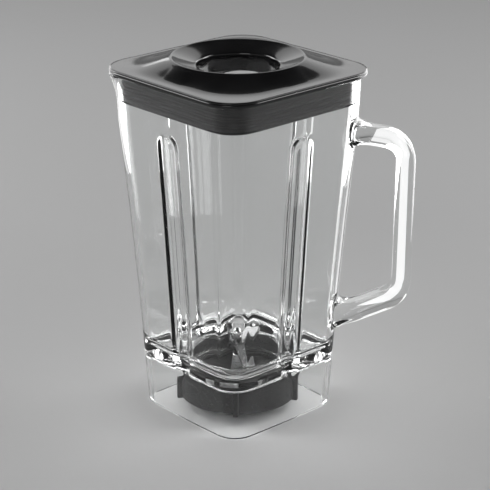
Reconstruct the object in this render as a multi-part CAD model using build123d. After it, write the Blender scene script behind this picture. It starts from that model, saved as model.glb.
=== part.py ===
from build123d import *
import math
import os

# Square glass blender jug with its lid and its twist-off blade unit.
# Millimetres, +Z up. The origin is on the jug's axis, in the plane that its glass skirt stands on.
# The jug is square in plan and turned 45 degrees, so its corners point along +-X and +-Y:
# the handle is on the +X corner and the pouring spout on the -X corner.

# ---------------------------------------------------------------- driving dimensions

# Outside of the glass: (height, half width across the flats, corner radius)
glass_sections = [
    (0.0, 46.0, 15.0),
    (70.0, 49.6, 16.2),
    (130.0, 53.5, 17.6),
    (192.0, 58.1, 19.2),
    (221.0, 59.0, 19.5),
]
rim_z = glass_sections[-1][0]
wall = 4.4                      # glass thickness of the sides
floor_top_z = 39.0              # inside floor of the jug
floor_under_z = 33.0            # underside of the floor, inside the skirt
floor_fillet = 8.0
skirt_wall = 4.2

flute_angles = [45, 135, 225, 315]
flute_width = 14.0              # groove width on the outside of each flat
flute_depth = 3.5
flute_low_z = 40.0              # centres of the groove's round ends
flute_high_z = 185.5

spout_low_z = 203.0
spout_reach = 79.6              # tip of the spout from the axis
spout_radius = 14.0

handle_wide = 19.0
handle_edge = 4.5
handle_root = 60.0              # the handle starts inside the wall of the corner
handle_outer = [(handle_root, 192.1), (110.4, 185.0), (110.0, 72.9), (handle_root, 52.4)]     # x, z
handle_inner = [(handle_root, 66.7), (97.7, 82.2), (98.6, 174.6), (handle_root, 180.1)]
handle_outer_bend = 21.0
handle_inner_bend = 9.5

neck_bore = 28.5                # round opening in the floor
neck_outer = 32.5
neck_low_z = 24.0
mouth_low_z = 33.5              # the floor slopes down to the neck in a cone
mouth_radius = 35.4

bayonet_count = 3
bayonet_arc = 44.0
bayonet_glass = (32.2, 34.0, 25.4, 28.1)    # inner radius, outer radius, low z, high z
bayonet_base = (33.0, 34.6, 28.4, 31.0)

lid_half = 62.2                 # lid flange, half width across the flats
lid_corner = 21.5
lid_low_z = 221.2
lid_flat_z = 225.0
lid_edge_radius = 0.9
dome_half = 55.7                # where the dome rises from the flat border
dome_corner = 33.0
crest_radius = 41.0
crest_z = 232.0
filler_radius = 25.5
filler_z = 227.0
filler_low_z = 215.2
filler_wall = 2.2
filler_notch = 9.0
filler_notch_deep = 3.0
plug_half = 52.0
plug_corner = 13.0
plug_wall = 2.0
plug_low_z = 205.0

gasket_low_z = 203.4
gasket_high_z = 220.9
gasket_body = 53.2
gasket_lips = [(204.0, 205.6, 54.2), (208.2, 209.6, 54.2), (212.0, 213.4, 54.2), (215.4, 220.2, 53.9)]

base_radius = 36.5              # black screw-on base of the blade unit
base_low_z = 7.0
base_top_z = 32.2
base_bore = 34.3
base_ledge_z = 22.0
base_well = 27.0
base_floor_z = 20.0
base_floor_under_z = 17.0
base_skirt_bore = 33.8
base_hub_bore = 4.9
grip_count = 5
grip_reach = 39.3
grip_wide = 3.6
grip_top_z = 29.5

shaft_radius = 2.5
shaft_low_radius = 2.0
shaft_low_z = 7.0
shaft_top_z = 50.0
shaft_flat = 2.0                # half the distance between the two drive flats
running_gap = 0.03
flat_gap = 0.02                 # left between two faces that touch

jug_seal_ring = (27.9, 34.0, 1.2)           # inner radius, outer radius, thickness
jug_seal_bead = (29.2, 31.8)
housing_seal_radius = 6.7
housing_washer_radius = 8.5
housing_washer_thick = 1.0
boot_foot_radius = 3.9          # rubber boot round the shaft
boot_neck_radius = 3.1
boot_top_z = 38.5
upper_bush_z = (27.0, 33.8)
lower_bush_z = (12.0, 18.5)
spacer_radius = 4.4
spacer_low_z = 38.6
clip_bore = 2.12
clip_radius = 4.2
clip_z = (11.05, 11.4)
clip_mouth = 2.6

housing_bore = 3.3
housing_base_radius = 5.8
housing_top_radius = 4.0
housing_low_z = 11.5
housing_seat_z = 21.6
housing_top_z = 34.0
housing_stem = 4.75

nut_flats = 14.0
nut_washer_radius = 4.3
nut_washer_thick = 0.8
dome_nut_flats = 8.4
dome_nut_hex = 4.2              # height of the nut's six sides
blade_thick = 1.5
blade_fold = 6.0                # from the axis to the fold of a wing
lower_blade_z = 39.4
upper_blade_z = lower_blade_z + blade_thick
upper_blade_angle = 20.0        # plan angle of each blade's first wing
lower_blade_angle = -62.0
upper_blade_wide = 9.0
lower_blade_wide = 9.6
upper_wings = [(60.0, 12.0), (78.0, 14.5)]      # bend, length beyond the fold
lower_wings = [(-38.0, 17.0), (-38.0, 17.0)]
lower_tip_wide = 4.2

coupling_radius = 13.0
coupling_low_z = 1.5
coupling_top_z = 10.6
coupling_socket = 4.5
coupling_socket_deep = 4.6
coupling_play = 0.02
coupling_hub = 7.5
coupling_step = 2.5
dog_count = 6
dog_slot = 4.4
dog_slot_long = 9.0


# ---------------------------------------------------------------- shared shapes

def rounded_square(half, corner, z):
    """A rounded square whose corners point along the X and Y axes."""
    return Pos(0, 0, z) * Rot(0, 0, 45) * RectangleRounded(2 * half, 2 * half, corner)


def square_block(half, corner, low, high):
    return extrude(rounded_square(half, corner, low), high - low)


def ring(inner, outer, low, high):
    height = high - low
    align = (Align.CENTER, Align.CENTER, Align.MIN)
    return Pos(0, 0, low) * (Cylinder(outer, height, align=align) - Cylinder(inner, height, align=align))


def disc(radius, low, high):
    return Pos(0, 0, low) * Cylinder(radius, high - low, align=(Align.CENTER, Align.CENTER, Align.MIN))


def turned(points):
    """A solid of revolution about Z from (radius, z) points."""
    return revolve(make_face(Polyline(*[(r, 0, z) for r, z in points], close=True)), Axis.Z)


def arc_lug(inner, outer, low, high, start, arc):
    """Part of a ring, from the angle start over arc degrees."""
    middle = Pos((inner + outer) / 2, 0, (low + high) / 2)
    section = middle * Rot(90, 0, 0) * Rectangle(outer - inner, high - low)
    return Rot(0, 0, start) * revolve(section, Axis.Z, revolution_arc=arc)


def capsule(low, high, radius):
    """A cylinder with round ends between two points."""
    way = Vector(*high) - Vector(*low)
    body = Cylinder(radius, way.length, align=(Align.CENTER, Align.CENTER, Align.MIN))
    return Plane(origin=low, z_dir=way) * body + Pos(*low) * Sphere(radius) + Pos(*high) * Sphere(radius)


def between(z, column):
    """A value of the glass sections at height z."""
    for low, high in zip(glass_sections, glass_sections[1:]):
        if z <= high[0]:
            share = (z - low[0]) / (high[0] - low[0])
            return low[column] + share * (high[column] - low[column])
    return glass_sections[-1][column]


def glass_half(z):
    return between(z, 1)


def glass_corner(z):
    return between(z, 2)


# ---------------------------------------------------------------- the glass jug

def glass_cavity():
    """The space inside the jug above its floor, without the ribs."""
    heights = [floor_top_z] + [section[0] for section in glass_sections[1:-1]] + [rim_z + 2]
    space = loft([rounded_square(glass_half(z) - wall, glass_corner(z) - wall, z) for z in heights])
    bottom = space.faces().sort_by(Axis.Z)[0]
    return fillet(bottom.edges(), floor_fillet) + spout(wall, rim_z + 1)


def flutes(radius):
    """The four upright rounded bars that press the grooves and the ribs into the flats."""
    groove_radius = ((flute_width / 2) ** 2 + flute_depth ** 2) / (2 * flute_depth)
    stand_off = groove_radius - flute_depth
    low = (glass_half(flute_low_z) + stand_off, 0, flute_low_z)
    high = (glass_half(flute_high_z) + stand_off, 0, flute_high_z)
    return [Rot(0, 0, angle) * capsule(low, high, groove_radius + radius) for angle in flute_angles]


def spout(shrink, top):
    """The pouring lip on the -X corner, a round nose that leans outwards."""
    lean = spout_reach - spout_radius - glass_reach(spout_low_z) + spout_radius
    sections = []
    for z in (spout_low_z, top):
        x = glass_reach(spout_low_z) - spout_radius + lean * (z - spout_low_z) / (rim_z - spout_low_z)
        sections.append(Pos(-x, 0, z) * Circle(spout_radius - shrink))
    return loft(sections)


def glass_reach(z):
    """Distance of the rounded corner from the axis."""
    return math.sqrt(2) * (glass_half(z) - glass_corner(z)) + glass_corner(z)


def glass_handle():
    """Solid loop of glass, bent twice, with its long edges rounded."""
    outline = make_face(Plane.XZ * Polyline(*handle_outer, *handle_inner, close=True))
    for bends, radius in ((handle_outer[1:3], handle_outer_bend), (handle_inner[1:3], handle_inner_bend)):
        corners = [v for v in outline.vertices() if any(math.dist((v.X, v.Z), bend) < 0.01 for bend in bends)]
        outline = fillet(corners, radius)
    loop = extrude(outline, handle_wide / 2, both=True)
    long_edges = loop.edges().filter_by(on_handle_side)
    return fillet(long_edges, handle_edge)


def on_handle_side(edge):
    middle = edge.center()
    return middle.X > handle_root + 0.1 and abs(middle.Y) > handle_wide / 2 - 0.01


def neck_opening():
    """The round hole through the floor, with the cone above it."""
    return turned([
        (0, neck_low_z - 1), (neck_bore, neck_low_z - 1), (neck_bore, mouth_low_z),
        (mouth_radius, floor_top_z), (mouth_radius, floor_top_z + 0.5), (0, floor_top_z + 0.5),
    ])


def neck():
    """Round collar under the floor, with the bayonet lugs that hold the blade unit."""
    collar = ring(neck_bore, neck_outer, neck_low_z, floor_under_z + 1)
    inner, outer, low, high = bayonet_glass
    for n in range(bayonet_count):
        collar += arc_lug(inner, outer, low, high, n * 360 / bayonet_count, bayonet_arc)
    return collar


def glass_jug():
    outside = loft([rounded_square(half, corner, z) for z, half, corner in glass_sections])
    jug = outside + glass_handle() + spout(0, rim_z)
    space = glass_cavity()
    for rib in flutes(wall):
        space -= rib
    jug -= space
    for groove in flutes(0):
        jug -= groove
    under = loft([
        rounded_square(glass_half(z) - skirt_wall, glass_corner(z) - skirt_wall, z)
        for z in (0, floor_under_z)
    ])
    jug -= under
    return jug + neck() - neck_opening()


# ---------------------------------------------------------------- the lid

def plug_block(half, low, high):
    """A block whose corners are concentric with those of the lid's plug."""
    return square_block(half, plug_corner + half - plug_half, low, high)


def lid_cover():
    edge = square_block(lid_half, lid_corner, lid_low_z, lid_flat_z)
    rim_edges = edge.edges().filter_by(lambda e: abs(e.center().Z - lid_flat_z) < 0.01)
    edge = fillet(rim_edges, lid_edge_radius)
    dome = loft([
        rounded_square(dome_half, dome_corner, lid_flat_z - 0.01),
        rounded_square(crest_radius + 0.05, crest_radius, crest_z),
    ])
    plug = plug_block(plug_half, plug_low_z, lid_low_z + 1)
    plug -= plug_block(plug_half - plug_wall, plug_low_z - 1, lid_low_z + 2)
    tube = disc(filler_radius + filler_wall, filler_low_z, lid_flat_z)
    crater = turned([
        (0, filler_z), (filler_radius, filler_z), (crest_radius - 0.6, crest_z),
        (crest_radius, crest_z + 3), (0, crest_z + 3),
    ])
    under = turned([
        (filler_radius + filler_wall, lid_low_z - 1),
        (filler_radius + filler_wall, lid_flat_z - 0.8),
        (crest_radius - 2.5, crest_z - 2.8),
        (crest_radius + 6.5, lid_flat_z + 0.2),
        (plug_half - plug_wall - 2, lid_low_z + 1.4),
        (plug_half - plug_wall - 2, lid_low_z - 1),
    ])
    lid = edge + dome + plug - crater - under + tube
    lid -= disc(filler_radius, filler_low_z - 1, crest_z + 1)
    for side in (30, 210):
        notch = Box(2 * filler_wall, filler_notch, 2 * filler_notch_deep)
        lid -= Rot(0, 0, side) * Pos(filler_radius + filler_wall / 2, 0, filler_low_z) * notch
    return lid


def lid_gasket():
    seal = plug_block(gasket_body, gasket_low_z, gasket_high_z)
    for low, high, half in gasket_lips:
        seal += plug_block(half, low, high)
    seal -= plug_block(plug_half, plug_low_z, gasket_high_z + 1)
    return seal - plug_block(plug_half - plug_wall, gasket_low_z - 1, plug_low_z + 1)


# ---------------------------------------------------------------- the blade unit's fixed parts

def grip_rib():
    depth = grip_reach - base_radius + 1
    rib = Box(depth, grip_wide, grip_top_z - base_low_z)
    rib = fillet(rib.edges().filter_by(Axis.Z).group_by(Axis.X)[-1], 1.0)
    return Pos(grip_reach - depth / 2, 0, (base_low_z + grip_top_z) / 2) * rib


def blade_base():
    base = turned([
        (base_hub_bore, base_floor_under_z), (base_skirt_bore, base_floor_under_z),
        (base_skirt_bore, base_low_z), (base_radius - 1, base_low_z), (base_radius, base_low_z + 1),
        (base_radius, base_top_z - 0.6), (base_radius - 0.6, base_top_z), (base_bore, base_top_z),
        (base_bore, base_ledge_z), (base_well, base_ledge_z), (base_well, base_floor_z),
        (base_hub_bore, base_floor_z),
    ])
    for n in range(grip_count):
        base += Rot(0, 0, -90 + n * 360 / grip_count) * grip_rib()
    inner, outer, low, high = bayonet_base
    for n in range(bayonet_count):
        base += arc_lug(inner, outer, low, high, n * 360 / bayonet_count, bayonet_arc)
    return base


def jug_seal():
    """Flat ring with a raised bead, squeezed between the neck and the base's ledge."""
    inner, outer, thick = jug_seal_ring
    low = base_ledge_z + flat_gap
    bead = ring(*jug_seal_bead, low + thick - 0.1, neck_low_z - 0.1)
    return ring(inner, outer, low, low + thick) + bead


def bearing_housing():
    return turned([
        (housing_bore, housing_low_z), (housing_stem, housing_low_z), (housing_stem, housing_seat_z),
        (housing_base_radius, housing_seat_z), (housing_base_radius, housing_seat_z + 1.2),
        (housing_top_radius, housing_top_z - 0.4), (housing_top_radius - 0.4, housing_top_z),
        (housing_bore, housing_top_z),
    ])


def housing_seal():
    return ring(
        housing_stem + 0.05, housing_seal_radius, base_floor_z + flat_gap, housing_seat_z - flat_gap
    )


def housing_washer():
    low = base_floor_under_z - housing_washer_thick
    return ring(housing_stem + 0.1, housing_washer_radius, low, base_floor_under_z - flat_gap)


def housing_nut():
    low = housing_low_z + 0.6
    high = base_floor_under_z - housing_washer_thick - flat_gap
    block = extrude(Pos(0, 0, low) * RegularPolygon(nut_flats / 2, 6, major_radius=False), high - low)
    return block - disc(housing_stem + 0.02, low - 1, high + 1)


def shaft_bush(low, high):
    return ring(shaft_radius + running_gap, housing_bore - 0.005, low, high)


def shaft_seal():
    """Rubber boot round the shaft, on top of the housing."""
    return turned([
        (shaft_radius + running_gap, housing_top_z + flat_gap),
        (boot_foot_radius, housing_top_z + flat_gap), (boot_foot_radius - 0.2, housing_top_z + 0.9),
        (boot_neck_radius, housing_top_z + 1.4), (boot_neck_radius, boot_top_z - 0.3),
        (shaft_radius + running_gap, boot_top_z),
    ])


# ---------------------------------------------------------------- what the motor turns

def drive_flats(grow):
    """The part of the shaft's section left between its two flats."""
    return Box(4 * shaft_radius, 2 * (shaft_flat + grow), 200)


def blade_shaft():
    step_z = coupling_top_z + coupling_play
    flats_z = lower_blade_z - 0.8
    blades_top_z = upper_blade_z + blade_thick
    shaft = disc(shaft_radius, step_z, flats_z)
    shaft += disc(shaft_radius, flats_z, blades_top_z) & Rot(0, 0, upper_blade_angle) * drive_flats(0)
    shaft += disc(shaft_flat, blades_top_z, shaft_top_z)
    shaft += disc(shaft_low_radius, shaft_low_z, step_z)
    shaft -= ring(clip_bore - 0.02, 2 * shaft_radius, clip_z[0] - flat_gap, clip_z[1] + flat_gap)
    return shaft


def wing_outline(long, wide):
    """Flat outline of one wing: straight back edge, curved cutting edge, pointed tip."""
    tip = (long, -wide * 0.3)
    shoulder = (long * 0.78, -wide / 2)
    outline = Line((0, -wide / 2), (0, wide / 2))
    outline += ThreePointArc((0, wide / 2), (long * 0.62, wide * 0.36), tip)
    outline += Line(tip, shoulder)
    outline += Line(shoulder, (0, -wide / 2))
    return make_face(outline)


def tapered_outline(long, wide):
    """Flat outline of one wing: straight edges that taper to a slanting end."""
    root, tip = wide / 2, lower_tip_wide / 2
    return make_face(Polyline((0, -root), (0, root), (long - 1.5, tip), (long, -tip), close=True))


def blade(z, turn, wide, wings, outline):
    """Stamped blade: a flat hub with two wings bent out of its plane."""
    plate = extrude(Rectangle(2 * blade_fold, wide), blade_thick)
    for side, (bend, long) in zip((0, 180), wings):
        wing = extrude(outline(long, wide), blade_thick / 2, both=True)
        knuckle = Rot(90, 0, 0) * Cylinder(blade_thick / 2, wide)
        wing = Rot(0, -bend, 0) * wing + knuckle
        plate += Rot(0, 0, side) * Pos(blade_fold, 0, blade_thick / 2) * wing
    bore = disc(shaft_radius + 0.02, -1, blade_thick + 1)
    flats = Rot(0, 0, upper_blade_angle - turn) * drive_flats(0.02)
    return Pos(0, 0, z) * Rot(0, 0, turn) * (plate - (bore & flats))


def lower_blade():
    return blade(lower_blade_z, lower_blade_angle, lower_blade_wide, lower_wings, tapered_outline)


def upper_blade():
    return blade(upper_blade_z, upper_blade_angle, upper_blade_wide, upper_wings, wing_outline)


def nut_washer():
    low = upper_blade_z + blade_thick
    return ring(shaft_flat + 0.01, nut_washer_radius, low + 0.01, low + nut_washer_thick - 0.01)


def dome_nut():
    low, wide = upper_blade_z + blade_thick + nut_washer_thick, dome_nut_flats
    hexagon = extrude(Pos(0, 0, low) * RegularPolygon(wide / 2, 6, major_radius=False), dome_nut_hex)
    dome_radius = wide / 2 - 0.2
    centre_z = low + dome_nut_hex + 0.8
    dome = disc(dome_radius, low, centre_z) + Pos(0, 0, centre_z) * Sphere(dome_radius)
    edge = wide / 2 + 0.15
    top = low + dome_nut_hex
    skin = turned([(0, low), (edge, low), (edge, top - 0.4), (edge - 0.45, top), (0, top)])
    return (hexagon & skin) + dome - disc(shaft_flat + 0.01, low - 1, shaft_top_z + 0.4)


def drive_coupling():
    """Dog coupling under the jug: a round locating socket with six slots round it."""
    hub = disc(coupling_radius, coupling_low_z, coupling_top_z - coupling_step)
    hub += disc(coupling_hub, coupling_low_z, coupling_top_z)
    hub -= disc(coupling_socket, coupling_low_z - 1, coupling_low_z + coupling_socket_deep)
    for n in range(dog_count):
        slot = Pos(coupling_radius, 0, coupling_low_z) * Box(dog_slot_long, dog_slot, 2 * coupling_socket_deep)
        hub -= Rot(0, 0, n * 360 / dog_count) * slot
    return hub - disc(shaft_low_radius + 0.01, shaft_low_z - 0.1, coupling_top_z + 1)


def retaining_ring():
    mouth = Pos(clip_radius, 0, clip_z[0]) * Box(2 * clip_radius - 2, clip_mouth, 2)
    return ring(clip_bore, clip_radius, *clip_z) - mouth


# ---------------------------------------------------------------- write the parts

parts = {
    "glass_jug": glass_jug(),
    "lid_cover": lid_cover(),
    "lid_gasket": lid_gasket(),
    "blade_base": blade_base(),
    "jug_seal": jug_seal(),
    "bearing_housing": bearing_housing(),
    "housing_seal": housing_seal(),
    "housing_washer": housing_washer(),
    "housing_nut": housing_nut(),
    "upper_bush": shaft_bush(*upper_bush_z),
    "lower_bush": shaft_bush(*lower_bush_z),
    "shaft_seal": shaft_seal(),
    "blade_shaft": blade_shaft(),
    "blade_spacer": ring(shaft_radius + 0.01, spacer_radius, spacer_low_z, lower_blade_z - 0.01),
    "lower_blade": lower_blade(),
    "upper_blade": upper_blade(),
    "nut_washer": nut_washer(),
    "dome_nut": dome_nut(),
    "retaining_ring": retaining_ring(),
    "drive_coupling": drive_coupling(),
}

os.makedirs("parts", exist_ok=True)
for name, solid in parts.items():
    export_step(solid, f"parts/{name}.step")
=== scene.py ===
import bmesh
import bpy
import math
from mathutils import Matrix, Vector


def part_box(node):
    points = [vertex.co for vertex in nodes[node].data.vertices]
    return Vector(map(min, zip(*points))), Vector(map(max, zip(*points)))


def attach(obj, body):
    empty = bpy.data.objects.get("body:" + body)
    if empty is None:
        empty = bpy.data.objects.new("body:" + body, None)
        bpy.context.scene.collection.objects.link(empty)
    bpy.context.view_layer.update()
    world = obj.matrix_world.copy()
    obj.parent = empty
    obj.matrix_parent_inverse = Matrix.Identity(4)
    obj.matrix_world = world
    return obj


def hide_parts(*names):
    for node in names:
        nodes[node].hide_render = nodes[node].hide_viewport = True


# Square glass blender jug with its lid and blade unit, on a pale studio floor.
# The pieces' lengths are in millimetres, and the handle is on the +X corner.

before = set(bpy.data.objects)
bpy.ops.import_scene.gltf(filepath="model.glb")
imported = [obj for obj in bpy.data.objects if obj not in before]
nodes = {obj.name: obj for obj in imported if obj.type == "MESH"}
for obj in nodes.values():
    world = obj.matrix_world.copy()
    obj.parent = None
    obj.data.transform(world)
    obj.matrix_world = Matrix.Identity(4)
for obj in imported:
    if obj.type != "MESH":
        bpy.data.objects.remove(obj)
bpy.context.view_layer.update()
mm = 0.001
print("frame loaded:", len(nodes), "nodes")

jugLow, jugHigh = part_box("glass_jug")
gasketLow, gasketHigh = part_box("lid_gasket")
rimZ = jugHigh.z / mm
spoutX = -jugLow.x / mm


# rings: every moulded shell is drawn as loops of points, each joined to the next

section = {
    "arcSteps": 9,          # faces round each corner
    "sideSteps": 2,         # points between a corner and the flute, on each side of it
    "fluteAcross": [-9.2, -8.2, -7.1, -6.0, -4.6, -1.8, 1.8, 4.6, 6.0, 7.1, 8.2, 9.2],
    "fluteShare": 0.8,      # most of a narrow side that the flute's points may take
    "roundFrom": (50, 18),  # the rounded square whose points a circle takes its angles from
}


def sideOffsets(run):
    across = section["fluteAcross"]
    shrink = min(run * section["fluteShare"] / across[-1], 1)
    middle = [value * shrink for value in across]
    steps = section["sideSteps"]
    edge = [-run + (run + middle[0]) * (n + 1) / (steps + 1) for n in range(steps)]
    return edge + middle + [-value for value in reversed(edge)]


def flatWay(angle):
    return Vector((math.cos(angle), math.sin(angle), 0))


def squareRing(half, corner, z, bow=0.0, rib=None, nose=0.0):
    # points of a rounded square whose corners lie on the X and Y axes
    run = half - corner
    rise = Vector((0, 0, z))
    points = []
    for turn in range(4):
        heading = math.radians(90 * turn)
        centre = flatWay(heading) * run * math.sqrt(2)
        for step in range(section["arcSteps"] + 1):
            swing = math.radians(-45 + 90 * step / section["arcSteps"])
            reach = corner
            if turn == 2:
                reach += nose * math.cos(swing * 2) ** 2
            points.append(centre + flatWay(heading + swing) * reach + rise)
        normal = flatWay(heading + math.pi / 4)
        along = Vector((-normal.y, normal.x, 0))
        for across in sideOffsets(run):
            out = half + bow * (1 - (across / run) ** 2)
            if rib:
                out -= rib(across)
            points.append(normal * out + along * across + rise)
    return points


def roundRing(radius, z):
    # the same number of points on a circle, at the angles of a rounded square's points
    points = []
    for point in squareRing(*section["roundFrom"], z):
        way = Vector((point.x, point.y, 0)).normalized()
        points.append(way * radius + Vector((0, 0, z)))
    return points


def evenRing(radius, z):
    # a circle's points evenly spaced, with a corner's middle on the X axis
    count = len(squareRing(*section["roundFrom"], z))
    angles = [math.tau * (n - section["arcSteps"] / 2) / count for n in range(count)]
    return [Vector((math.cos(angle) * radius, math.sin(angle) * radius, z)) for angle in angles]


def placeRing(ring, points):
    for vert, point in zip(ring, points):
        vert.co = point * mm


def firstRing(bm, points):
    ring = bmesh.ops.create_circle(bm, cap_ends=False, segments=len(points), radius=1)["verts"]
    placeRing(ring, points)
    return ring


def loopEdges(bm, ring):
    return [bm.edges.get((a, b)) for a, b in zip(ring, ring[1:] + ring[:1])]


def growRing(bm, ring, points):
    made = bmesh.ops.extrude_edge_only(bm, edges=loopEdges(bm, ring))["geom"]
    fresh = {vert for vert in made if isinstance(vert, bmesh.types.BMVert)}
    grown = []
    for vert in ring:
        grown.append(next(e.other_vert(vert) for e in vert.link_edges if e.other_vert(vert) in fresh))
    placeRing(grown, points)
    return grown


def tubeOf(bm, rings):
    # joins the rings in order, and gives back the first and last loops
    first = firstRing(bm, rings[0])
    ring = first
    for points in rings[1:]:
        ring = growRing(bm, ring, points)
    return first, ring


def shellOf(rings):
    # a closed shell through the rings, the last joined to the first
    bm = bmesh.new()
    first, last = tubeOf(bm, rings)
    bmesh.ops.bridge_loops(bm, edges=loopEdges(bm, last) + loopEdges(bm, first))
    return bm


def finishPiece(bm, name, material, body):
    bmesh.ops.remove_doubles(bm, verts=bm.verts, dist=1e-6)
    bmesh.ops.recalc_face_normals(bm, faces=bm.faces)
    mesh = bpy.data.meshes.new(name)
    bm.to_mesh(mesh)
    bm.free()
    for polygon in mesh.polygons:
        polygon.use_smooth = True
    piece = bpy.data.objects.new(name, mesh)
    bpy.context.scene.collection.objects.link(piece)
    smooth = piece.modifiers.new("smooth", "SUBSURF")
    smooth.levels = 1
    smooth.render_levels = 1
    smooth.use_limit_surface = False
    mesh.materials.append(material)
    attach(piece, body)
    return piece


# materials

def newMaterial(name):
    material = bpy.data.materials.new(name)
    material.use_nodes = True
    return material, material.node_tree, material.node_tree.nodes["Principled BSDF"]


def objectNoise(tree, scale, stretch=(1, 1, 1), detail=3.0):
    coordinates = tree.nodes.new("ShaderNodeTexCoord")
    mapping = tree.nodes.new("ShaderNodeMapping")
    mapping.inputs["Scale"].default_value = stretch
    noise = tree.nodes.new("ShaderNodeTexNoise")
    noise.inputs["Scale"].default_value = scale
    noise.inputs["Detail"].default_value = detail
    tree.links.new(coordinates.outputs["Object"], mapping.inputs["Vector"])
    tree.links.new(mapping.outputs["Vector"], noise.inputs["Vector"])
    return noise.outputs["Fac"]


def addBump(tree, shader, height, strength, distance):
    bump = tree.nodes.new("ShaderNodeBump")
    bump.inputs["Strength"].default_value = strength
    bump.inputs["Distance"].default_value = distance
    tree.links.new(height, bump.inputs["Height"])
    tree.links.new(bump.outputs["Normal"], shader.inputs["Normal"])


def spread(tree, source, low, high):
    # noise lies mostly between 0.3 and 0.7
    ranged = tree.nodes.new("ShaderNodeMapRange")
    ranged.inputs["From Min"].default_value = 0.3
    ranged.inputs["From Max"].default_value = 0.7
    ranged.inputs["To Min"].default_value = low
    ranged.inputs["To Max"].default_value = high
    tree.links.new(source, ranged.inputs["Value"])
    return ranged.outputs["Result"]


def grey(shade):
    return (shade, shade, shade)


def tint(tree, source, shader, first, second):
    ramp = tree.nodes.new("ShaderNodeValToRGB")
    ramp.color_ramp.elements[0].position = 0.35
    ramp.color_ramp.elements[1].position = 0.65
    ramp.color_ramp.elements[0].color = (*first, 1)
    ramp.color_ramp.elements[1].color = (*second, 1)
    tree.links.new(source, ramp.inputs["Fac"])
    tree.links.new(ramp.outputs["Color"], shader.inputs["Base Color"])


glassLook = {
    "colour": (0.985, 0.992, 0.99, 1),
    "bending": 1.5,
    "rippleScale": 30, "rippleStretch": (1, 1, 0.2), "rippleStrength": 0.07, "rippleHeight": 0.0012,
}


def pressedGlass():
    material, tree, shader = newMaterial("pressedGlass")
    shader.inputs["Base Color"].default_value = glassLook["colour"]
    shader.inputs["Transmission Weight"].default_value = 1.0
    shader.inputs["IOR"].default_value = glassLook["bending"]
    shader.inputs["Roughness"].default_value = 0.0
    ripple = objectNoise(tree, glassLook["rippleScale"], stretch=glassLook["rippleStretch"], detail=1.5)
    addBump(tree, shader, ripple, glassLook["rippleStrength"], glassLook["rippleHeight"])
    return material


lidLook = {
    "dark": (0.006, 0.006, 0.0065), "light": (0.009, 0.009, 0.0095),
    "smoothest": 0.07, "roughest": 0.12,
    "waveScale": 30, "waveStrength": 0.03, "waveHeight": 0.001,     # the moulding's faint unevenness
}


def glossPlastic():
    material, tree, shader = newMaterial("glossLidPlastic")
    haze = objectNoise(tree, 60)
    tint(tree, haze, shader, lidLook["dark"], lidLook["light"])
    rough = spread(tree, haze, lidLook["smoothest"], lidLook["roughest"])
    tree.links.new(rough, shader.inputs["Roughness"])
    shader.inputs["Specular IOR Level"].default_value = 0.5
    wave = objectNoise(tree, lidLook["waveScale"], detail=1.0)
    addBump(tree, shader, wave, lidLook["waveStrength"], lidLook["waveHeight"])
    return material


def satinPlastic(name, shade, rough, shine=0.5, depth=0.12):
    material, tree, shader = newMaterial(name)
    shader.inputs["Specular IOR Level"].default_value = shine
    grain = objectNoise(tree, 900, detail=4.0)
    tint(tree, objectNoise(tree, 35), shader, grey(shade), (shade * 1.5, shade * 1.5, shade * 1.55))
    tree.links.new(spread(tree, grain, rough - 0.06, rough + 0.08), shader.inputs["Roughness"])
    addBump(tree, shader, grain, depth, 0.0002)
    return material


def softRubber(name, shade):
    material, tree, shader = newMaterial(name)
    shader.inputs["Specular IOR Level"].default_value = 0.15
    grain = objectNoise(tree, 1400, detail=3.0)
    tint(tree, objectNoise(tree, 50), shader, grey(shade), grey(shade * 1.4))
    tree.links.new(spread(tree, grain, 0.38, 0.52), shader.inputs["Roughness"])
    addBump(tree, shader, grain, 0.08, 0.0001)
    return material


def turnedSteel(name, shade, rough, stretch=(1, 1, 14), streaks=120, depth=0.05):
    material, tree, shader = newMaterial(name)
    lines = objectNoise(tree, streaks, stretch=stretch, detail=5.0)
    tint(tree, lines, shader, (shade * 0.9, shade * 0.9, shade * 0.91), grey(shade))
    shader.inputs["Metallic"].default_value = 1.0
    tree.links.new(spread(tree, lines, rough * 0.7, rough * 1.4), shader.inputs["Roughness"])
    addBump(tree, shader, lines, depth, 0.0001)
    return material


glass = pressedGlass()
lidPlastic = glossPlastic()
gasketRubber = softRubber("gasketRubber", 0.005)
sealRubber = softRubber("sealRubber", 0.016)
basePlastic = satinPlastic("bladeBasePlastic", 0.003, 0.3, shine=0.16, depth=0.02)
couplingPlastic = satinPlastic("couplingPlastic", 0.016, 0.42)
housingSteel = turnedSteel("polishedHousingSteel", 0.88, 0.3)
nutSteel = turnedSteel("polishedNutSteel", 0.6, 0.1)
bladeSteel = turnedSteel("stampedBladeSteel", 0.38, 0.22, stretch=(1, 1, 1), streaks=260)
shaftSteel = turnedSteel("groundShaftSteel", 0.45, 0.18)
clipSteel = turnedSteel("springClipSteel", 0.3, 0.3)
bushBronze = turnedSteel("sinteredBushBronze", 0.5, 0.45)

nodeMaterials = {
    "blade_base": basePlastic, "jug_seal": sealRubber, "bearing_housing": housingSteel,
    "housing_seal": sealRubber, "housing_washer": shaftSteel, "housing_nut": nutSteel,
    "upper_bush": bushBronze, "lower_bush": bushBronze, "shaft_seal": sealRubber,
    "blade_shaft": shaftSteel, "blade_spacer": shaftSteel, "lower_blade": bladeSteel,
    "upper_blade": bladeSteel, "nut_washer": shaftSteel, "dome_nut": nutSteel,
    "retaining_ring": clipSteel, "drive_coupling": couplingPlastic,
}
for nodeName, material in nodeMaterials.items():
    nodes[nodeName].data.materials.clear()
    nodes[nodeName].data.materials.append(material)
print("materials made")


# the glass jug: bowl, flutes, spout, floor, skirt, neck and handle in one moulding

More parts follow.
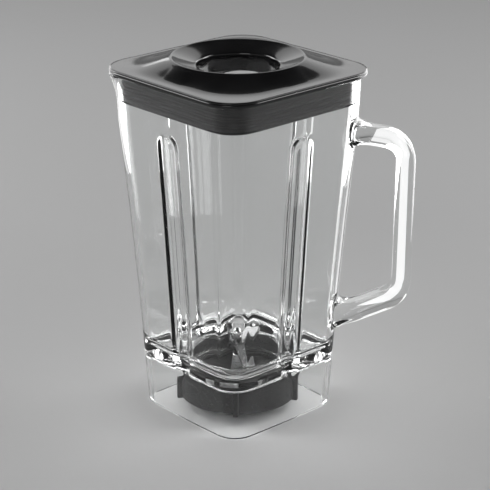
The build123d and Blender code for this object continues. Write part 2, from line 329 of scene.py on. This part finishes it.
jug = {
    # height, half width across the flats, corner radius
    "sections": [(0, 46.0, 15.0), (70, 49.6, 16.2), (130, 53.5, 17.6), (192, 58.1, 19.2),
                 (rimZ, 59.0, 19.5)],
    "bow": 0.5,
    "wall": 4.4,
    "leastCorner": 4,
    "fluteFlat": 3.8,       # the flat middle of a flute, from its centre line
    "fluteHalf": 8.8,
    "fluteDepth": 3.3,
    "fluteLow": 40.0,
    "fluteHigh": 185.5,
    "spoutLow": 203.0,
    "spoutOver": 0.2,       # lost again when the surface is smoothed
    "spoutCurve": 1.9,
    # the neck's bore, then the cone that the floor slopes down in: radius, height
    "mouth": [(28.5, 24.8), (28.5, 27), (28.5, 31), (28.5, 33), (29, 34.1), (31.95, 36.25), (34.4, 38.1)],
    "floorEdge": (36, 24, 38.9),                    # half width, corner radius, height
    "floorTop": 39.0,
    "floorFillet": 9.0,
    "filletDegrees": [2, 22.5, 45, 67.5, 88],
    "innerHeights": [50, 55, 64, 80, 98, 116, 134, 150, 164, 174, 180, 184, 187, 189.2, 191, 192.6, 194.2,
                     196.5, 201, 206, 210, 213.5, 216.5, 219],
    "rim": [(4.2, 1.0), (3.3, 0.05), (1.1, 0.05), (0.1, 1.0)],      # inset, drop from the top
    "outerHeights": [219, 216.5, 213.5, 210, 206, 201, 197, 194.4, 192.4, 190.4, 188, 185, 182, 178.4, 173,
                     164, 150, 134, 116, 98, 84, 76, 72.5, 69, 65.6, 62.2, 58.8, 55.4, 51, 47, 43.5, 41, 39,
                     37, 35.2, 33.4, 31.4, 27],
    "skirtOutside": [16, 4, 1.5],
    "foot": [(0.3, 0.5), (1.2, 0), (3.0, 0), (4.0, 0.6)],           # inset, height
    "skirtWall": 4.2,
    "skirtInside": [1.8, 6, 18, 28, 30.6],
    "floorUnder": 33.0,
    "underFillet": [(4.7, 32.2), (6.2, 33.0)],                      # inset, height
    "underEdge": (37.5, 21),                                        # half width, corner radius
    # the outside of the neck, down to its lower edge: radius, height
    "neck": [(33.9, 33), (32.8, 32.4), (32.5, 31.2), (32.5, 25.2), (31.7, 24), (29.3, 24)],
}


def between(z, column):
    rows = jug["sections"]
    for low, high in zip(rows, rows[1:]):
        if z <= high[0]:
            share = (z - low[0]) / (high[0] - low[0])
            return low[column] + share * (high[column] - low[column])
    return rows[-1][column]


def fluteAt(z):
    # depth of the flute across its width, at a height
    past = max(jug["fluteLow"] - z, z - jug["fluteHigh"], 0)

    def depth(across):
        share = (math.hypot(across, past) - jug["fluteFlat"]) / (jug["fluteHalf"] - jug["fluteFlat"])
        share = min(max(share, 0), 1)
        return jug["fluteDepth"] * (1 - share * share * (3 - 2 * share))
    return depth


def cornerReach(z):
    return math.sqrt(2) * (between(z, 1) - between(z, 2)) + between(z, 2)


def spoutNose(z):
    rise = max(z - jug["spoutLow"], 0) / (rimZ - jug["spoutLow"])
    return (spoutX + jug["spoutOver"] - cornerReach(rimZ)) * rise ** jug["spoutCurve"]


def wallRing(z, inset, level=None, fluted=True):
    # a ring of the wall; the taper is read at z, and the ring is drawn at level
    corner = max(between(z, 2) - inset, jug["leastCorner"])
    height = z if level is None else level
    rib = fluteAt(z) if fluted else None
    return squareRing(between(z, 1) - inset, corner, height, jug["bow"], rib, spoutNose(z))


def filletRing(degrees):
    angle = math.radians(degrees)
    back = jug["floorFillet"] * (1 - math.sin(angle))
    rise = jug["floorFillet"] * (1 - math.cos(angle))
    return wallRing(jug["floorTop"] + rise, jug["wall"] + back)


def jugRings():
    under = jug["floorUnder"]
    rings = [roundRing(*row) for row in jug["mouth"]]
    rings.append(squareRing(*jug["floorEdge"]))
    rings += [filletRing(degrees) for degrees in jug["filletDegrees"]]
    rings += [wallRing(z, jug["wall"]) for z in jug["innerHeights"]]
    rings += [wallRing(rimZ, inset, rimZ - drop) for inset, drop in jug["rim"]]
    rings += [wallRing(z, 0) for z in jug["outerHeights"]]
    rings += [wallRing(z, 0, fluted=False) for z in jug["skirtOutside"]]
    rings += [wallRing(0, inset, level, fluted=False) for inset, level in jug["foot"]]
    rings += [wallRing(z, jug["skirtWall"], fluted=False) for z in jug["skirtInside"]]
    rings += [wallRing(under, inset, level, fluted=False) for inset, level in jug["underFillet"]]
    rings.append(squareRing(*jug["underEdge"], under))
    rings += [roundRing(*row) for row in jug["neck"]]
    return rings


handle = {
    "wide": 19.0, "thick": 11.9, "lowerThick": 13.2, "edge": 5.5,
    # the middle line's straight runs, as x and z
    "top": (84.0, 182.7), "topBend": (104.2, 179.8), "lowBend": (103.7, 77.6), "low": (76.0, 66.1),
    "bendRadius": 15.3, "bendSteps": 7,
    "gripStops": (0.36, 0.62),      # shares of the grip's length
    "topBack": 0.16, "lowBack": 0.1,    # how far the arms run on into the glass, as shares of their length
    "thickenOver": 9,               # the last sections, over which the lower arm thickens
    "cornerSteps": 3,
    "flatStops": (0.5, 0, -0.5),
    "topRows": (178.4, 192.4), "lowRows": (55.4, 72.5),     # heights that each arm grows from
    "rootFrom": 58, "rootWide": 10.0,
}


def handleSection(centre, heading, thick):
    # twenty-four points round one section of the handle
    out = Vector((-math.sin(heading), 0, math.cos(heading)))
    edge, steps = handle["edge"], handle["cornerSteps"]
    flat = handle["wide"] / 2 - edge
    rise = thick / 2 - edge
    points = []
    for quarter, (side, face) in enumerate(((1, 1), (-1, 1), (-1, -1), (1, -1))):
        for step in range(steps + 1):
            swing = math.radians(90 * quarter + 90 / steps * step)
            points.append((side * flat + edge * math.cos(swing), face * rise + edge * math.sin(swing)))
        if quarter % 2 == 0:
            points += [(side * flat * share, face * thick / 2) for share in handle["flatStops"]]
        else:
            points.append((side * handle["wide"] / 2, 0))
    return [centre + Vector((0, across, 0)) + out * up for across, up in points]


def patchAt(bm, lowZ, highZ):
    # the faces of the outer corner that an arm grows from
    picked = []
    for face in bm.faces:
        middle = face.calc_center_median() / mm
        onCorner = middle.x > handle["rootFrom"] and abs(middle.y) < handle["rootWide"]
        if onCorner and lowZ < middle.z < highZ:
            if math.hypot(middle.x, middle.y) > cornerReach(middle.z) - jug["wall"] / 2:
                picked.append(face)
    return picked


def openPatch(bm, lowZ, highZ):
    faces = patchAt(bm, lowZ, highZ)
    edges = {edge for face in faces for edge in face.edges}
    rim = [edge for edge in edges if sum(face in faces for face in edge.link_faces) == 1]
    verts = {vert for face in faces for vert in face.verts}
    print("handle patch:", len(faces), "faces,", len(rim), "edges")
    bmesh.ops.delete(bm, geom=faces, context="FACES_ONLY")
    inside = [edge for edge in edges if edge.is_valid and edge not in rim]
    bmesh.ops.delete(bm, geom=inside, context="EDGES_FACES")
    loose = [vert for vert in verts if vert.is_valid and not vert.link_faces]
    bmesh.ops.delete(bm, geom=loose, context="VERTS")
    return rim


def bendPoints(before, corner, after, radius, count):
    # centres and headings round one bend of the handle
    first = (Vector(corner) - Vector(before)).normalized()
    second = (Vector(after) - Vector(corner)).normalized()
    turn = first.angle(second)
    back = radius * math.tan(turn / 2)
    inward = (second - first).normalized()
    hub = Vector(corner) + inward * (radius / math.cos(turn / 2))
    start = Vector(corner) - first * back - hub
    stops = []
    for n in range(count + 1):
        angle = -turn * n / count
        arm = Matrix.Rotation(angle, 2) @ start
        stops.append((hub + arm, math.atan2(first.y, first.x) + angle))
    return stops


def handleStops():
    # centres and headings along the handle, from the top root to the lower one
    top, topBend, lowBend, low = (Vector(handle[key]) for key in ("top", "topBend", "lowBend", "low"))
    radius, steps = handle["bendRadius"], handle["bendSteps"]
    along, down, back = topBend - top, lowBend - topBend, low - lowBend
    heading, falling, homing = (math.atan2(way.y, way.x) for way in (along, down, back))
    stops = [(top - along * handle["topBack"], heading), (top, heading)]
    stops += bendPoints(top, topBend, lowBend, radius, steps)
    stops += [(topBend + down * share, falling) for share in handle["gripStops"]]
    stops += bendPoints(topBend, lowBend, low, radius, steps)
    return stops + [(low, homing), (low + back * handle["lowBack"], homing)]


def addHandle(bm):
    topRim = openPatch(bm, *handle["topRows"])
    lowRim = openPatch(bm, *handle["lowRows"])
    stops = handleStops()
    over = handle["thickenOver"]
    rings = []
    for n, (centre, heading) in enumerate(stops):
        late = max(0, (n - len(stops) + over + 1) / over)
        thick = handle["thick"] + (handle["lowerThick"] - handle["thick"]) * min(late, 1)
        rings.append(handleSection(Vector((centre.x, 0, centre.y)), heading, thick))
    first, last = tubeOf(bm, rings)
    bmesh.ops.bridge_loops(bm, edges=topRim + loopEdges(bm, first))
    bmesh.ops.bridge_loops(bm, edges=lowRim + loopEdges(bm, last))
    print("open edges left in the jug:", sum(not edge.is_manifold for edge in bm.edges))


def makeJug():
    bm = shellOf(jugRings())
    addHandle(bm)
    piece = finishPiece(bm, "jugGlass", glass, "jug")
    piece.visible_shadow = False    # light reaches the blades through the glass
    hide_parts("glass_jug")


makeJug()
print("jug made")


# the lid

lid = {
    # radius and height, up the inside of the filler tube and over the hole's edge
    "hole": [(25.5, 215.8), (25.5, 218), (25.5, 221), (25.5, 225.6), (25.75, 226.65), (26.6, 227.25)],
    "craterLow": (25.5, 227.0), "craterHigh": (41.0, 232.0),        # radius, height
    "craterRadii": [30, 34.5, 38.6],
    "crest": [(40.1, 231.85), (41.0, 232.0), (42.1, 231.75)],
    "domeFoot": (55.7, 33.0),                                       # half width, corner radius
    "domeShares": [0.22, 0.45, 0.7, 0.9],
    "domeSwell": 1.35,
    "flangeTop": 225.0,
    # half width, corner radius and height, over the flange and its stepped edge
    "flange": [(56.6, 31.5, 225.0), (59.2, 21.5, 225.0), (61.3, 20.9, 225.0), (62.05, 21.5, 224.75),
               (62.05, 21.5, 224.0), (61.75, 21.5, 223.8), (61.75, 21.5, 223.55), (62.2, 21.5, 223.35),
               (62.2, 21.5, 221.8), (61.6, 21.5, 221.2)],
    # the same, down the outside of the plug wall and up its inside
    "plug": [(53, 14, 221.2), (52, 13, 220.2), (52, 13, 215), (52, 13, 210), (52, 13, 205.5),
             (51.5, 13, 205), (50.5, 11, 205), (50, 11, 205.5), (50, 11, 212), (50, 11, 220),
             (49.2, 12, 222.4)],
    # radius and height, under the dome and down the outside of the filler tube
    "underside": [(43.5, 226.6), (39.0, 229.0), (31, 226.0), (28.5, 224.6), (27.7, 223.0), (27.7, 219.0),
                  (27.7, 215.8), (27.2, 215.2), (26.0, 215.2)],
}


def blendRings(first, second, share, z):
    points = []
    for a, b in zip(first, second):
        points.append(Vector((a.x + (b.x - a.x) * share, a.y + (b.y - a.y) * share, z)))
    return points


def craterRings():
    (low, lowZ), (high, highZ) = lid["craterLow"], lid["craterHigh"]
    slope = (highZ - lowZ) / (high - low)
    return [evenRing(radius, lowZ + slope * (radius - low)) for radius in lid["craterRadii"]]


def domeRings():
    # from the round crest down to the square foot, steeper towards the crest
    crest, crestZ = lid["craterHigh"]
    circle = evenRing(crest, 0)
    foot = squareRing(*lid["domeFoot"], 0)
    drop = crestZ - lid["flangeTop"]
    rings = []
    for share in lid["domeShares"]:
        rings.append(blendRings(circle, foot, share, crestZ - drop * (1 - (1 - share) ** lid["domeSwell"])))
    return rings


def lidRings():
    rings = [evenRing(*row) for row in lid["hole"]]
    rings += craterRings()
    rings += [evenRing(*row) for row in lid["crest"]]
    rings += domeRings()
    rings += [squareRing(*row) for row in lid["flange"] + lid["plug"]]
    rings += [evenRing(*row) for row in lid["underside"]]
    return rings


def makeLid():
    piece = finishPiece(shellOf(lidRings()), "lidMoulding", lidPlastic, "lid")
    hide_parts("lid_cover")


makeLid()
print("lid made")


# the gasket: a plain band with thin lips below it

gasket = {
    "inner": 52.1, "body": 53.2, "low": gasketLow.z / mm, "high": gasketHigh.z / mm,
    "cornerLess": 39.0,     # how much smaller a ring's corner radius is than its half width
    "foot": 0.1, "top": 0.2,                # taper of the body at its two ends
    "middle": 212,
    "gap": 0.15, "chamfer": 0.25, "crown": 0.35,
    # low, high and half width of each lip, and of the band
    "lips": [(204.0, 205.6, 54.2), (208.2, 209.6, 54.2), (212.0, 213.4, 54.2), (215.4, 220.2, 53.9)],
}


def gasketRing(half, z):
    return squareRing(half, half - gasket["cornerLess"], z)


def gasketRings():
    body, gap, chamfer, crown = (gasket[key] for key in ("body", "gap", "chamfer", "crown"))
    rings = [gasketRing(gasket["inner"], gasket[key]) for key in ("high", "middle", "low")]
    rings.append(gasketRing(body - gasket["foot"], gasket["low"]))
    for low, high, half in gasket["lips"]:
        edge = half - chamfer
        rings += [gasketRing(body, low - gap), gasketRing(edge, low), gasketRing(half, low + crown)]
        rings += [gasketRing(half, high - crown), gasketRing(edge, high), gasketRing(body, high + gap)]
    rings.append(gasketRing(body - gasket["top"], gasket["high"]))
    return rings


def makeGasket():
    piece = finishPiece(shellOf(gasketRings()), "lidSeal", gasketRubber, "lid")
    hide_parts("lid_gasket")


makeGasket()
print("gasket made")


# studio, in metres and watts

middle = (0, 0, 0.12)
studio = {
    # place, what it faces, size, power, whether it lights the floor
    "lamps": {
        "leftPanel": ((-0.3, 0.31, 0.2), (0.0, 0.2, 0.15), (0.46, 0.4), 1.0, False),
        "rightPanel": ((0.28, 0.29, 0.2), (0.0, 0.2, 0.15), (0.5, 0.4), 2.0, False),
        "handleCard": ((0.115, 0.16, 0.09), (0.1, 0.0, 0.14), (0.06, 0.24), 0.028, False),
        "leftBox": ((-1.25, 0.45, 0.85), middle, (0.5, 1.2), 13, True),
        "rightBox": ((1.25, 0.35, 0.8), middle, (0.5, 1.2), 12, True),
        "backBox": ((0.0, 1.6, 0.95), middle, (2.2, 0.7), 5, True),
        "frontBox": ((-0.5, -1.6, 1.2), middle, (0.9, 0.5), 5, True),
    },
    "floorRadius": 3.0,
    "floorShade": 0.5,
    "horizonShade": 0.33,
    "overheadShade": 0.03,
    "paleUpTo": 0.25,       # sine of the height above the horizon
    "darkFrom": 0.75,
    "glassBounces": 24,
}


def makeFloor():
    bm = bmesh.new()
    bmesh.ops.create_circle(bm, cap_ends=True, segments=96, radius=studio["floorRadius"])
    mesh = bpy.data.meshes.new("floor")
    bm.to_mesh(mesh)
    bm.free()
    floor = bpy.data.objects.new("floor", mesh)
    bpy.context.scene.collection.objects.link(floor)
    material, tree, shader = newMaterial("paleFloor")
    shade = studio["floorShade"]
    tint(tree, objectNoise(tree, 3), shader, grey(shade), (shade * 1.01, shade * 1.01, shade * 1.015))
    shader.inputs["Roughness"].default_value = 0.9
    shader.inputs["Specular IOR Level"].default_value = 0.0
    mesh.materials.append(material)


def softBox(name, place, target, size, power, onFloor):
    light = bpy.data.lights.new(name, "AREA")
    light.shape = "RECTANGLE"
    light.size = size[0]
    light.size_y = size[1]
    light.energy = power
    lamp = bpy.data.objects.new(name, light)
    lamp.location = place
    way = Vector(target) - Vector(place)
    lamp.rotation_euler = way.to_track_quat("-Z", "Y").to_euler()
    lamp.visible_camera = False
    lamp.visible_diffuse = onFloor
    bpy.context.scene.collection.objects.link(lamp)


def makeWorld():
    # the room is pale near the horizon and dark overhead
    world = bpy.data.worlds.new("studioRoom")
    world.use_nodes = True
    tree = world.node_tree
    coordinates = tree.nodes.new("ShaderNodeTexCoord")
    split = tree.nodes.new("ShaderNodeSeparateXYZ")
    ranged = tree.nodes.new("ShaderNodeMapRange")
    ranged.interpolation_type = "SMOOTHSTEP"
    ranged.inputs["From Min"].default_value = studio["paleUpTo"]
    ranged.inputs["From Max"].default_value = studio["darkFrom"]
    ranged.inputs["To Min"].default_value = studio["horizonShade"]
    ranged.inputs["To Max"].default_value = studio["overheadShade"]
    tree.links.new(coordinates.outputs["Generated"], split.inputs["Vector"])
    tree.links.new(split.outputs["Z"], ranged.inputs["Value"])
    tree.links.new(ranged.outputs["Result"], tree.nodes["Background"].inputs["Strength"])
    tree.nodes["Background"].inputs["Color"].default_value = (1, 1, 1, 1)
    bpy.context.scene.world = world


makeFloor()
makeWorld()
for name, settings in studio["lamps"].items():
    softBox(name, *settings)
scene = bpy.context.scene
scene.view_settings.view_transform = "Standard"
scene.cycles.max_bounces = studio["glassBounces"]
scene.cycles.transmission_bounces = studio["glassBounces"]
print("studio lit")


# camera

view = {
    "azimuth": 2.82,        # degrees round from straight in front
    "pitch": 21.31,
    "yaw": -0.24,
    "ground": 1.0201,       # metres from the jug's axis, along the floor
    "height": 0.5061,
    "lens": 126.8,
}


def makeCamera():
    turn = math.radians(view["azimuth"])
    aim = math.radians(view["azimuth"] + view["yaw"])
    pitch = math.radians(view["pitch"])
    camera = bpy.data.objects.new("camera", bpy.data.cameras.new("camera"))
    camera.data.lens = view["lens"]
    camera.data.sensor_width = 36
    camera.data.clip_start = 0.05
    camera.location = (view["ground"] * math.sin(turn), -view["ground"] * math.cos(turn), view["height"])
    look = Vector((-math.sin(aim) * math.cos(pitch), math.cos(aim) * math.cos(pitch), -math.sin(pitch)))
    camera.rotation_euler = look.to_track_quat("-Z", "Y").to_euler()
    bpy.context.scene.collection.objects.link(camera)
    bpy.context.scene.camera = camera


makeCamera()
